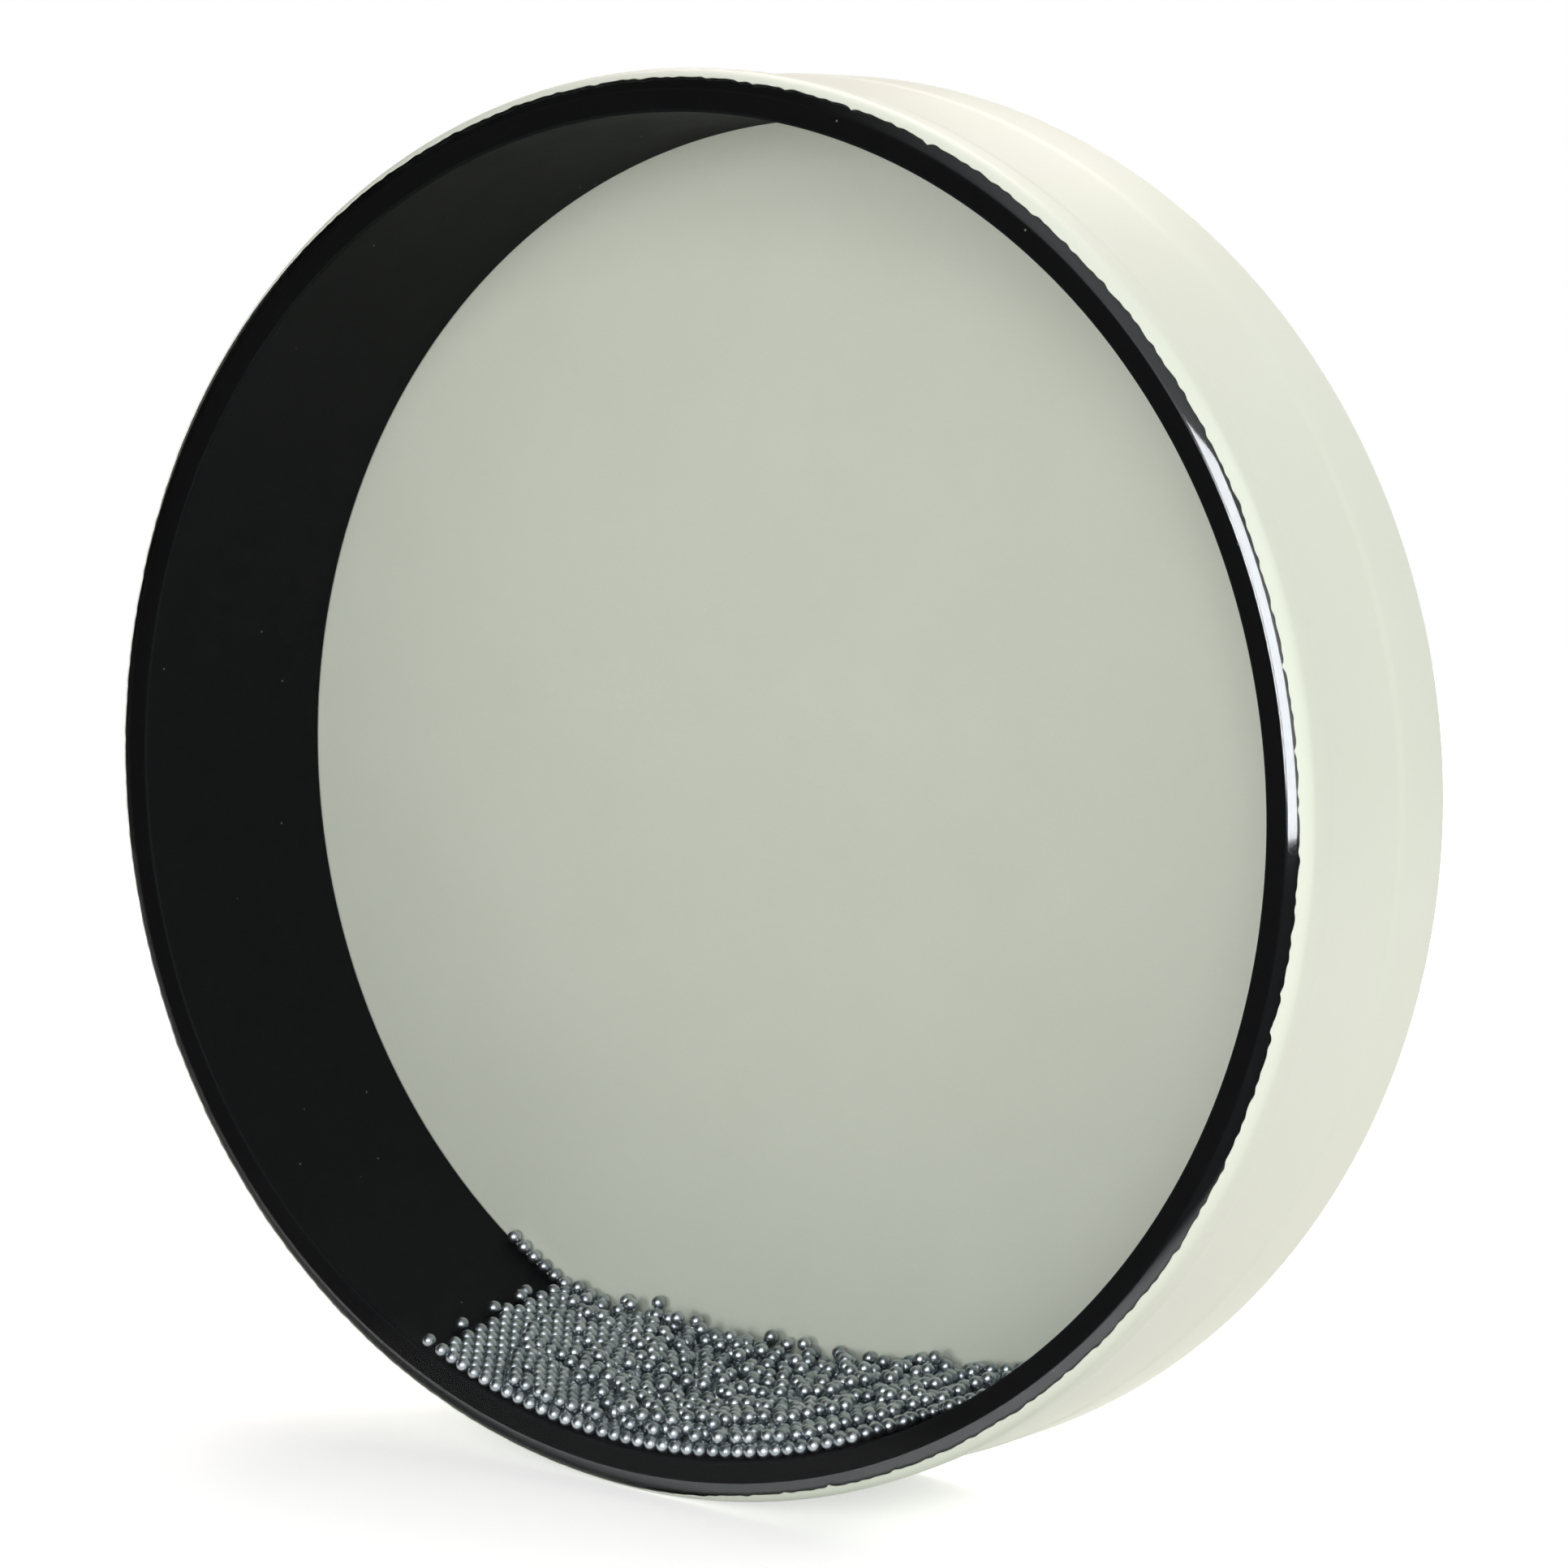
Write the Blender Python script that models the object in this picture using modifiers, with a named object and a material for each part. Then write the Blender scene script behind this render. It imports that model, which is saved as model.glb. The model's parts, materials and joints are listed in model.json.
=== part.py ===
"""Ocean drum: a shallow hoop closed by two bonded film heads, with loose steel balls inside.

The drum stands on its rim. Its axis is Y, with the clear head at -Y and the opaque head at +Y, and the
origin is at the centre of the drum. All lengths are in metres.
"""
import math

import bmesh
import bpy
from mathutils import Vector

# The drum over its wrap and heads
DRUM_DIAMETER = 0.3048
DRUM_DEPTH = 0.0635

# Hoop
SHELL_WALL = 0.00794
EDGE_ROUND = 0.0040
EDGE_EASE = 0.0008

# Films over the hoop, and the glue line under each of them
FILM = 0.00025
WRAP = 0.0005
GLUE = 0.0003
FRONT_SKIRT = 0.0100
BACK_SKIRT = 0.0160
WRAP_START = math.radians(45.0)

# Facets of everything turned
RING_STEPS = 60
ROUND_STEPS = 4
WRAP_STEPS = 2
WELD = 0.00001
SHARP_ANGLE = math.radians(35.0)

# Balls, and the heap they lie in
BALL_DIAMETER = 0.003175
BALL_CLEARANCE = 0.0003
HEAP_FRONT = 0.0067
HEAP_BACK = 0.0136
SHORE_FRONT = math.radians(24.2)
SHORE_BACK = math.radians(28.2)
CONTACT_DIP = 0.0009
HOLLOW_DIP = 0.0015
THIN_SHARE = 0.4

# Balls that lie apart from the heap
CORNER_BALLS = 5
CORNER_ROOM = 2
ROLLING_BALLS = 8
TOP_BALLS = 24
BARE_ROWS = 1
BARE_COLUMNS = 6
GOLDEN_STEP = (math.sqrt(5.0) - 1.0) / 2.0

# Sizes that follow from those above
HALF_DEPTH = DRUM_DEPTH / 2.0
SHELL_RADIUS = DRUM_DIAMETER / 2.0 - WRAP - FILM - 2.0 * GLUE
SHELL_BORE = SHELL_RADIUS - SHELL_WALL
SHELL_HALF = HALF_DEPTH - FILM - GLUE
HALF_STEP = math.pi / RING_STEPS
BALL_RADIUS = BALL_DIAMETER / 2.0
RUN_RADIUS = SHELL_BORE - BALL_CLEARANCE
BALL_CIRCLE = RUN_RADIUS - BALL_RADIUS
FRONT_INSIDE = -HALF_DEPTH + FILM + BALL_CLEARANCE
BACK_INSIDE = HALF_DEPTH - FILM - BALL_CLEARANCE
BALL_PITCH = BALL_DIAMETER + BALL_CLEARANCE


def finish(name, colour, roughness, metallic=0.0, alpha=1.0):
    """Return a Principled material."""
    material = bpy.data.materials.new(name)
    material.use_nodes = True
    shader = material.node_tree.nodes["Principled BSDF"]
    shader.inputs["Base Color"].default_value = (*colour, 1.0)
    shader.inputs["Roughness"].default_value = roughness
    shader.inputs["Metallic"].default_value = metallic
    shader.inputs["Alpha"].default_value = alpha
    return material


def add_object(name, bm, material, collection):
    """Put a bmesh into a new smooth-shaded object of the collection."""
    mesh = bpy.data.meshes.new(name)
    bm.to_mesh(mesh)
    bm.free()
    mesh.shade_smooth()
    mesh.set_sharp_from_angle(angle=SHARP_ANGLE)
    mesh.materials.append(material)
    item = bpy.data.objects.new(name, mesh)
    collection.objects.link(item)
    return item


def rounding(side, radius, start, stop, steps):
    """Return profile points round the outer rounding of the front (-1) or back (+1) bearing edge.

    The angle runs from the flat of the edge (0) to the wall (a quarter turn), and every film that lies over
    the edge is concentric with it.
    """
    points = []
    for step in range(steps + 1):
        angle = start + (stop - start) * step / steps
        across = SHELL_RADIUS - EDGE_ROUND + radius * math.sin(angle)
        along = side * (SHELL_HALF - EDGE_ROUND + radius * math.cos(angle))
        points.append((across, along))
    return points


def turned(name, profile, closed, material, collection):
    """Turn a profile of (radius, Y) points about the drum's axis.

    The profile stands half a step off +X, so that a flat of the turned ring, and not a corner, is lowest.
    The flats lie at the profile's radius.
    """
    bm = bmesh.new()
    verts = []
    for across, along in profile:
        place = (across, along, across * math.tan(HALF_STEP))
        verts.append(bm.verts.new(place))
    for first, second in zip(verts, verts[1:]):
        bm.edges.new((first, second))
    if closed:
        bm.edges.new((verts[-1], verts[0]))
    item = add_object(name, bm, material, collection)
    screw = item.modifiers.new("Turn", "SCREW")
    screw.axis = "Y"
    screw.angle = math.tau
    screw.steps = RING_STEPS
    screw.render_steps = RING_STEPS
    screw.use_merge_vertices = True
    screw.merge_threshold = WELD
    screw.use_smooth_shade = True
    return item


def shell_profile():
    """Return the hoop's section: a flat wall with rounded outer and eased inner edges."""
    quarter = math.pi / 2.0
    back = rounding(1, EDGE_ROUND, 0.0, quarter, ROUND_STEPS)
    front = rounding(-1, EDGE_ROUND, quarter, 0.0, ROUND_STEPS)
    inside = [
        (SHELL_BORE + EDGE_EASE, -SHELL_HALF),
        (SHELL_BORE, -SHELL_HALF + EDGE_EASE),
        (SHELL_BORE, SHELL_HALF - EDGE_EASE),
        (SHELL_BORE + EDGE_EASE, SHELL_HALF),
    ]
    return back + front + inside


def head_profile(side, skirt):
    """Return the section of the front (-1) or back (+1) head, which runs forward along its outer side."""
    quarter = math.pi / 2.0
    hem = side * (HALF_DEPTH - skirt)
    outside = rounding(side, EDGE_ROUND + GLUE + FILM, 0.0, quarter, ROUND_STEPS)
    inside = rounding(side, EDGE_ROUND + GLUE, quarter, 0.0, ROUND_STEPS)
    hem_points = [(SHELL_RADIUS + GLUE + FILM, hem), (SHELL_RADIUS + GLUE, hem)]
    centre_out = [(0.0, side * HALF_DEPTH)]
    centre_in = [(0.0, side * (HALF_DEPTH - FILM))]
    points = centre_out + outside + hem_points + inside + centre_in
    return points if side > 0 else points[::-1]


def wrap_profile():
    """Return the wrap's section, which covers the wall and the outer half of both roundings."""
    quarter = math.pi / 2.0
    under = EDGE_ROUND + 2.0 * GLUE + FILM
    over = under + WRAP
    outside = rounding(1, over, WRAP_START, quarter, WRAP_STEPS)
    outside += rounding(-1, over, quarter, WRAP_START, WRAP_STEPS)
    inside = rounding(-1, under, WRAP_START, quarter, WRAP_STEPS)
    inside += rounding(1, under, quarter, WRAP_START, WRAP_STEPS)
    return outside + inside


def heap_line(share):
    """Return Y, the Z of the heap's middle, and the Z and half width of its edges, from front (0) to back (1).

    The balls lie up the wall on both sides, so the edges are higher than the middle. Each edge runs straight
    along the wall.
    """
    ends = []
    for depth, shore in ((HEAP_FRONT, SHORE_FRONT), (HEAP_BACK, SHORE_BACK)):
        ends.append((depth - RUN_RADIUS, -RUN_RADIUS * math.cos(shore), RUN_RADIUS * math.sin(shore)))
    along = FRONT_INSIDE + (BACK_INSIDE - FRONT_INSIDE) * share
    middle, edge, width = (front + (back - front) * share for front, back in zip(*ends))
    return along, middle, edge, width


HEAP_COLUMNS = int(2.0 * heap_line(0.5)[3] / BALL_PITCH)
HEAP_ROWS = int((BACK_INSIDE - FRONT_INSIDE) / BALL_PITCH)
FACE_ROWS = max(2, int(HEAP_FRONT / BALL_PITCH))


def is_crest(column, row):
    """Tell whether a half-pitch grid point is the crown of a ball; rows of balls are staggered."""
    return row % 2 == 1 and (column + row // 2) % 2 == 1


def relief(column, row, room):
    """Return how far a grid point of the heap lies below the crowns, at most a share of the room there."""
    if is_crest(column, row):
        return 0.0
    dip = CONTACT_DIP if row % 2 == 1 else HOLLOW_DIP
    return min(dip, THIN_SHARE * room)


def top_point(column, row):
    """Return a point of the heap's top, which is dished between its edges, on the half-pitch grid."""
    along, middle, edge, width = heap_line(row / (2.0 * HEAP_ROWS))
    reach = column / HEAP_COLUMNS - 1.0
    across = width * reach
    if column in (0, 2 * HEAP_COLUMNS):
        return Vector((across, along, edge))
    crown = middle + (edge - middle) * reach**2
    floor = -math.sqrt(RUN_RADIUS**2 - across**2)
    return Vector((across, along, crown - relief(column, row, crown - floor)))


def wall_point(column, share):
    """Return the point of the heap's underside, on the wall, below a grid column."""
    along, _, _, width = heap_line(share)
    across = width * (column / HEAP_COLUMNS - 1.0)
    return Vector((across, along, -math.sqrt(RUN_RADIUS**2 - across**2)))


def face_point(column, row):
    """Return a point of the heap's front face, between its top edge and the wall."""
    top = top_point(column, 0)
    low = wall_point(column, 0.0)
    point = top.lerp(low, row / (2.0 * FACE_ROWS))
    point.y += relief(column, row, top.z - low.z)
    return point


def add_relief_cells(bm, grid):
    """Close a grid of vertices with triangles that keep every crown whole."""
    for row, (lower, upper) in enumerate(zip(grid, grid[1:])):
        for column in range(len(lower) - 1):
            near, right = lower[column], lower[column + 1]
            left, far = upper[column], upper[column + 1]
            if is_crest(column, row) or is_crest(column + 1, row + 1):
                halves = ((near, right, far), (near, far, left))
            else:
                halves = ((near, right, left), (right, far, left))
            for corners in halves:
                if len(set(corners)) == 3:
                    bm.faces.new(corners)


def ball_bed(material, collection):
    """Loft the settled heap between its sections at both heads, with ball relief on top and in front."""
    bm = bmesh.new()
    last = 2 * HEAP_COLUMNS
    columns = range(last + 1)
    top = [[bm.verts.new(top_point(column, row)) for column in columns] for row in range(2 * HEAP_ROWS + 1)]
    ends = []
    for share, edge in ((0.0, top[0]), (1.0, top[-1])):
        inner = [bm.verts.new(wall_point(column, share)) for column in columns[1:-1]]
        ends.append([edge[0], *inner, edge[-1]])
    front, back = ends
    face = [top[0]]
    for row in range(1, 2 * FACE_ROWS):
        inner = [bm.verts.new(face_point(column, row)) for column in columns[1:-1]]
        face.append([top[0][0], *inner, top[0][-1]])
    face.append(front)
    add_relief_cells(bm, top)
    add_relief_cells(bm, face)
    for column in range(last):
        for corners in (
            (top[-1][column], top[-1][column + 1], back[column + 1]),
            (top[-1][column], back[column + 1], back[column]),
        ):
            if len(set(corners)) == 3:
                bm.faces.new(corners)
    for column in range(1, last - 1):
        bm.faces.new((front[column], front[column + 1], back[column + 1], back[column]))
    for side, next_in in ((0, 1), (last, last - 1)):
        edge = [row[side] for row in top]
        middle = HEAP_ROWS
        for row in range(2 * HEAP_ROWS):
            tip = front[next_in] if row < middle else back[next_in]
            bm.faces.new((edge[row], edge[row + 1], tip))
        bm.faces.new((front[next_in], edge[middle], back[next_in]))
    bmesh.ops.recalc_face_normals(bm, faces=bm.faces)
    return add_object("ball_bed", bm, material, collection)


def add_ball(name, centre, material, collection):
    """Add a single ball."""
    bm = bmesh.new()
    bmesh.ops.create_icosphere(bm, subdivisions=2, radius=BALL_RADIUS)
    item = add_object(name, bm, material, collection)
    item.data.shade_smooth()
    item.location = centre
    return item


def wall_place(angle, along):
    """Return the centre of a ball that lies on the wall, at an angle from straight down towards +X."""
    return Vector((BALL_CIRCLE * math.sin(angle), along, -BALL_CIRCLE * math.cos(angle)))


def shore_angle(share):
    """Return the angle from straight down at which a ball on the wall rests against the heap's edge."""
    _, _, edge, width = heap_line(share)
    reach = math.sqrt((BALL_RADIUS + BALL_CLEARANCE) ** 2 - BALL_RADIUS**2)
    return math.atan2(width, -edge) + reach / BALL_CIRCLE


def corner_places():
    """Return the string of balls that climbs the corner between the wall and the back head, at -X."""
    along = BACK_INSIDE - BALL_RADIUS
    step = 2.0 * math.asin(BALL_PITCH / (2.0 * BALL_CIRCLE))
    return [wall_place(-shore_angle(1.0) - step * index, along) for index in range(CORNER_BALLS)]


def rolling_places():
    """Return one ball for each track along the wall, by turns at the -X and +X edges of the heap."""
    first = FRONT_INSIDE + BALL_RADIUS
    last = BACK_INSIDE - BALL_RADIUS - CORNER_ROOM * BALL_PITCH
    places = []
    for index in range(ROLLING_BALLS):
        along = first + (last - first) * index / (ROLLING_BALLS - 1)
        side = -1.0 if index % 2 == 0 else 1.0
        share = (along - FRONT_INSIDE) / (BACK_INSIDE - FRONT_INSIDE)
        places.append(wall_place(side * shore_angle(share), along))
    return places


def perch(crowns):
    """Return the centre of a ball that rests on three balls of the heap, given by their crowns."""
    first, second, third = [crown - Vector((0.0, 0.0, BALL_RADIUS)) for crown in crowns]
    one, two = second - first, third - first
    normal = one.cross(two)
    offset = normal.cross(one) * two.length_squared + two.cross(normal) * one.length_squared
    offset /= 2.0 * normal.length_squared
    reach = BALL_DIAMETER + BALL_CLEARANCE
    rise = math.sqrt(max(reach**2 - offset.length_squared, 0.0))
    normal.normalize()
    if normal.z < 0.0:
        normal.negate()
    return first + offset + normal * rise


def top_places():
    """Return balls scattered over the heap, each in the hollow between three balls of two rows."""
    places = []
    rows = HEAP_ROWS - 2 * BARE_ROWS
    columns = HEAP_COLUMNS - BARE_COLUMNS
    for index in range(TOP_BALLS):
        row = 2 * (BARE_ROWS + int(rows * index / TOP_BALLS)) + 1
        column = BARE_COLUMNS + 2 * int(columns * ((index + 1) * GOLDEN_STEP % 1.0))
        if not is_crest(column, row):
            column += 1
        crowns = (top_point(column, row), top_point(column - 1, row + 2), top_point(column + 1, row + 2))
        places.append(perch(crowns))
    return places


def main():
    """Build the drum and its balls."""
    for item in list(bpy.data.objects):
        bpy.data.objects.remove(item, do_unlink=True)
    collection = bpy.data.collections.new("ocean_drum")
    bpy.context.scene.collection.children.link(collection)

    hoop_black = finish("hoop_black", (0.010, 0.011, 0.010), 0.55)
    clear_film = finish("clear_film", (0.90, 0.92, 0.90), 0.08, alpha=0.15)
    cream_film = finish("cream_film", (0.58, 0.60, 0.52), 0.45)
    cream_wrap = finish("cream_wrap", (0.72, 0.74, 0.63), 0.40)
    ball_steel = finish("ball_steel", (0.52, 0.55, 0.57), 0.20, metallic=1.0)
    heap_steel = finish("heap_steel", (0.40, 0.43, 0.45), 0.30, metallic=1.0)

    turned("shell", shell_profile(), True, hoop_black, collection)
    turned("clear_head", head_profile(-1, FRONT_SKIRT), False, clear_film, collection)
    turned("back_head", head_profile(1, BACK_SKIRT), False, cream_film, collection)
    turned("outer_wrap", wrap_profile(), True, cream_wrap, collection)

    axis = bpy.data.objects.new("roll_axis", None)
    collection.objects.link(axis)
    balls = [ball_bed(heap_steel, collection)]
    for label, places in (
        ("corner_ball", corner_places()),
        ("rolling_ball", rolling_places()),
        ("top_ball", top_places()),
    ):
        for index, centre in enumerate(places, start=1):
            balls.append(add_ball(f"{label}_{index:02d}", centre, ball_steel, collection))
    for item in balls:
        item.parent = axis


main()
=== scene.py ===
"""Ocean drum in a plain studio.

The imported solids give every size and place. This script dresses them: it turns fine rings for the hoop, the
heads and the wrap, lays and pours the loose balls one by one, and gives every surface its finish. The drum
stands on its rim, with its axis along Y and the clear head at -Y. Lengths are in metres.
"""

import json
import logging
import math
from collections.abc import Callable
from dataclasses import dataclass, field
from enum import Enum

import bmesh
import bpy
import numpy as np
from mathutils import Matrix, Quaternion, Vector

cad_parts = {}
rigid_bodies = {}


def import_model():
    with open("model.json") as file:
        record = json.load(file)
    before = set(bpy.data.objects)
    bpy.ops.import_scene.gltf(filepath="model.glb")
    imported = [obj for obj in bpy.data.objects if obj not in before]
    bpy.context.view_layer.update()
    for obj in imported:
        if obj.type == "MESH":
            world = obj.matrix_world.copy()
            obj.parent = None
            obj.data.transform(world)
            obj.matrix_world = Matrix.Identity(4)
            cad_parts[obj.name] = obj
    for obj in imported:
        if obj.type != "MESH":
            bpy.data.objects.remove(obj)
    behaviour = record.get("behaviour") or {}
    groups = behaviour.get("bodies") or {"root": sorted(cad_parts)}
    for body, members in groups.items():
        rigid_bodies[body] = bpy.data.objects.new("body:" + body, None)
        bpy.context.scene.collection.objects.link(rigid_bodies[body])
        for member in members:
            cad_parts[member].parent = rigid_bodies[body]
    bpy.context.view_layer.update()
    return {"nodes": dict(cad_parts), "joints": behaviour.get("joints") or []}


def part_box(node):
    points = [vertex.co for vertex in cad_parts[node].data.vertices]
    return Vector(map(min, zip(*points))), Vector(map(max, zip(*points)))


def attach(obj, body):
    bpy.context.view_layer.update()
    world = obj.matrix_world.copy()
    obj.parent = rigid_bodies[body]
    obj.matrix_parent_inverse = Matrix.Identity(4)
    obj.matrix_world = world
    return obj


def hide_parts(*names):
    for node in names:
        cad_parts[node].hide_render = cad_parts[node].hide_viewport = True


LOG = logging.getLogger("ocean_drum")
MM = 0.001
TONE = "ball_tone"
SMOOTH_LIMIT = math.radians(32.0)
LEAST_GAP = 1e-9
LEAST_FREEDOM = 1e-6
WHITE = (1.0, 1.0, 1.0, 1.0)

Point = tuple[float, float]
Colour = tuple[float, float, float, float]


class Side(Enum):
    """The two sides of the drum, by the sign of Y."""

    FRONT = -1
    BACK = 1


def linear(code: str) -> Colour:
    """Turn an sRGB hex colour into linear light.

    Args:
        code: The colour as "#rrggbb".

    Returns:
        Linear red, green, blue and an alpha of 1.
    """
    parts = [int(code[place : place + 2], 16) / 255.0 for place in (1, 3, 5)]
    red, green, blue = (
        part / 12.92 if part <= 0.04045 else ((part + 0.055) / 1.055) ** 2.4 for part in parts
    )
    return red, green, blue, 1.0


def per_metre(size_mm: float) -> float:
    """Return the texture scale at which a pattern's grain measures so many millimetres."""
    return 1.0 / (size_mm * MM)


def add_node(tree: bpy.types.NodeTree, kind: str, feeds: dict | None = None, **settings) -> bpy.types.Node:
    """Add a node with its settings and links.

    Args:
        tree: The node tree that takes the node.
        kind: The node's type name.
        feeds: For each input, by name or number, a plain value or the output that feeds it.
        **settings: Properties of the node.

    Returns:
        The new node.
    """
    node = tree.nodes.new(kind)
    for name, value in settings.items():
        setattr(node, name, value)
    for key, value in (feeds or {}).items():
        if isinstance(value, bpy.types.NodeSocket):
            tree.links.new(value, node.inputs[key])
        else:
            node.inputs[key].default_value = value
    return node


def start_material(name: str) -> tuple[bpy.types.Material, bpy.types.NodeTree, bpy.types.NodeSocket]:
    """Start a material with an empty tree.

    Args:
        name: The material's name.

    Returns:
        The material, its node tree and the object coordinates, in metres.
    """
    material = bpy.data.materials.new(name)
    material.use_nodes = True
    tree = material.node_tree
    tree.nodes.clear()
    coords = add_node(tree, "ShaderNodeTexCoord")
    return material, tree, coords.outputs["Object"]


def lay_dust(
    tree: bpy.types.NodeTree, coords: bpy.types.NodeSocket, room_mm: float, size_mm: float, cover: float
) -> bpy.types.NodeSocket:
    """Scatter specks of dust over a surface.

    Args:
        tree: The node tree that takes the nodes.
        coords: The object coordinates.
        room_mm: How far apart the specks lie.
        size_mm: How far a speck reaches from its middle, with a soft outer half.
        cover: How much a speck hides.

    Returns:
        How much dust hides at each place.
    """
    grains = add_node(tree, "ShaderNodeTexVoronoi", {"Vector": coords, "Scale": per_metre(room_mm)})
    speck = add_node(
        tree,
        "ShaderNodeMapRange",
        {
            "Value": grains.outputs["Distance"],
            "From Min": size_mm / room_mm,
            "From Max": 0.5 * size_mm / room_mm,
            "To Min": 0.0,
            "To Max": cover,
        },
    )
    return speck.outputs["Result"]


@dataclass(frozen=True)
class BlackBoard:
    """Fibre board bonded with resin, pressed into a hoop, sanded and dyed black.

    The eye sees a deep, nearly dull black with a faint cloud where the dye took unevenly, the tooth of the
    sanded fibres, and a few specks of dust.
    """

    name: str
    dark: str
    light: str
    dust: str = "#8b8c84"
    cloud_mm: float = 22.0
    tooth_mm: float = 0.9  # real tooth is about 0.2 mm; drawn coarser so that it shows
    tooth_depth: float = 0.05 * MM
    tooth_strength: float = 0.05
    dust_room_mm: float = 9.0
    dust_mm: float = 0.30
    dust_cover: float = 0.7
    roughness: tuple[float, float] = (0.58, 0.74)
    index: float = 1.5
    gloss: float = 0.08

    def material(self) -> bpy.types.Material:
        """Build the finish."""
        material, tree, coords = start_material(self.name)
        cloud = add_node(
            tree,
            "ShaderNodeTexNoise",
            {"Vector": coords, "Scale": per_metre(self.cloud_mm), "Detail": 4.0, "Roughness": 0.6},
        )
        tone = add_node(
            tree,
            "ShaderNodeMix",
            {0: cloud.outputs[0], 6: linear(self.dark), 7: linear(self.light)},
            data_type="RGBA",
        )
        speck = lay_dust(tree, coords, self.dust_room_mm, self.dust_mm, self.dust_cover)
        colour = add_node(
            tree,
            "ShaderNodeMix",
            {0: speck, 6: tone.outputs[2], 7: linear(self.dust)},
            data_type="RGBA",
        )
        tooth = add_node(
            tree,
            "ShaderNodeTexNoise",
            {"Vector": coords, "Scale": per_metre(self.tooth_mm), "Detail": 2.0},
        )
        rough = add_node(
            tree,
            "ShaderNodeMapRange",
            {"Value": cloud.outputs[0], "To Min": self.roughness[0], "To Max": self.roughness[1]},
        )
        bump = add_node(
            tree,
            "ShaderNodeBump",
            {
                "Strength": self.tooth_strength,
                "Distance": self.tooth_depth,
                "Height": tooth.outputs[0],
            },
        )
        shader = add_node(
            tree,
            "ShaderNodeBsdfPrincipled",
            {
                "Base Color": colour.outputs[2],
                "Roughness": rough.outputs["Result"],
                "Normal": bump.outputs["Normal"],
                "IOR": self.index,
                "Specular IOR Level": self.gloss,
            },
        )
        add_node(tree, "ShaderNodeOutputMaterial", {"Surface": shader.outputs["BSDF"]})
        return material


@dataclass(frozen=True)
class ClearFilm:
    """Clear polyester film, cast smooth and stretched over the edge of the hoop.

    The eye looks through it. Gloss shows where it bends over the edge and faces the eye, and a few specks of
    dust lie on it.
    """

    name: str
    share: float
    roughness: float = 0.06
    faded_share: float = 0.12
    fade: tuple[float, float] = (0.36, 0.50)
    tint: str = "#fefefe"
    gloss: str = "#f2f5f8"
    dust_room_mm: float = 19.0
    dust_mm: float = 0.20
    dust_cover: float = 0.25

    def material(self) -> bpy.types.Material:
        """Build the finish."""
        material, tree, coords = start_material(self.name)
        weight = add_node(tree, "ShaderNodeLayerWeight", {"Blend": 0.5})
        shown = add_node(
            tree,
            "ShaderNodeMapRange",
            {
                "Value": weight.outputs["Facing"],
                "From Min": self.fade[0],
                "From Max": self.fade[1],
                "To Min": self.share,
                "To Max": self.faded_share * self.share,
            },
        )
        speck = lay_dust(tree, coords, self.dust_room_mm, self.dust_mm, self.dust_cover)
        share = add_node(
            tree,
            "ShaderNodeMath",
            {0: shown.outputs["Result"], 1: speck},
            operation="ADD",
            use_clamp=True,
        )
        through = add_node(tree, "ShaderNodeBsdfTransparent", {"Color": linear(self.tint)})
        shine = add_node(
            tree, "ShaderNodeBsdfGlossy", {"Color": linear(self.gloss), "Roughness": self.roughness}
        )
        film = add_node(
            tree,
            "ShaderNodeMixShader",
            {0: share.outputs[0], 1: through.outputs[0], 2: shine.outputs[0]},
        )
        add_node(tree, "ShaderNodeOutputMaterial", {"Surface": film.outputs[0]})
        return material


@dataclass(frozen=True)
class CreamFilm:
    """Cream polyester film with a cast, satin face.

    The eye sees an even, slightly green cream with a faint mottle from the pigment and a soft, wide sheen.
    """

    name: str
    light: str
    dark: str
    sheen: float
    mottle_mm: float = 34.0
    grain_mm: float = 1.4  # the cast grain is about 0.1 mm; drawn coarser so that it shows
    grain_depth: float = 0.006 * MM
    grain_strength: float = 0.3
    roughness: tuple[float, float] = (0.40, 0.52)
    index: float = 1.57

    def material(self) -> bpy.types.Material:
        """Build the finish."""
        material, tree, coords = start_material(self.name)
        mottle = add_node(
            tree,
            "ShaderNodeTexNoise",
            {"Vector": coords, "Scale": per_metre(self.mottle_mm), "Detail": 5.0, "Roughness": 0.55},
        )
        tone = add_node(
            tree,
            "ShaderNodeMix",
            {0: mottle.outputs[0], 6: linear(self.dark), 7: linear(self.light)},
            data_type="RGBA",
        )
        grain = add_node(
            tree,
            "ShaderNodeTexNoise",
            {"Vector": coords, "Scale": per_metre(self.grain_mm), "Detail": 3.0},
        )
        rough = add_node(
            tree,
            "ShaderNodeMapRange",
            {"Value": mottle.outputs[0], "To Min": self.roughness[0], "To Max": self.roughness[1]},
        )
        bump = add_node(
            tree,
            "ShaderNodeBump",
            {
                "Strength": self.grain_strength,
                "Distance": self.grain_depth,
                "Height": grain.outputs[0],
            },
        )
        shader = add_node(
            tree,
            "ShaderNodeBsdfPrincipled",
            {
                "Base Color": tone.outputs[2],
                "Roughness": rough.outputs["Result"],
                "Normal": bump.outputs["Normal"],
                "IOR": self.index,
                "Specular IOR Level": self.sheen,
            },
        )
        add_node(tree, "ShaderNodeOutputMaterial", {"Surface": shader.outputs["BSDF"]})
        return material


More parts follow.
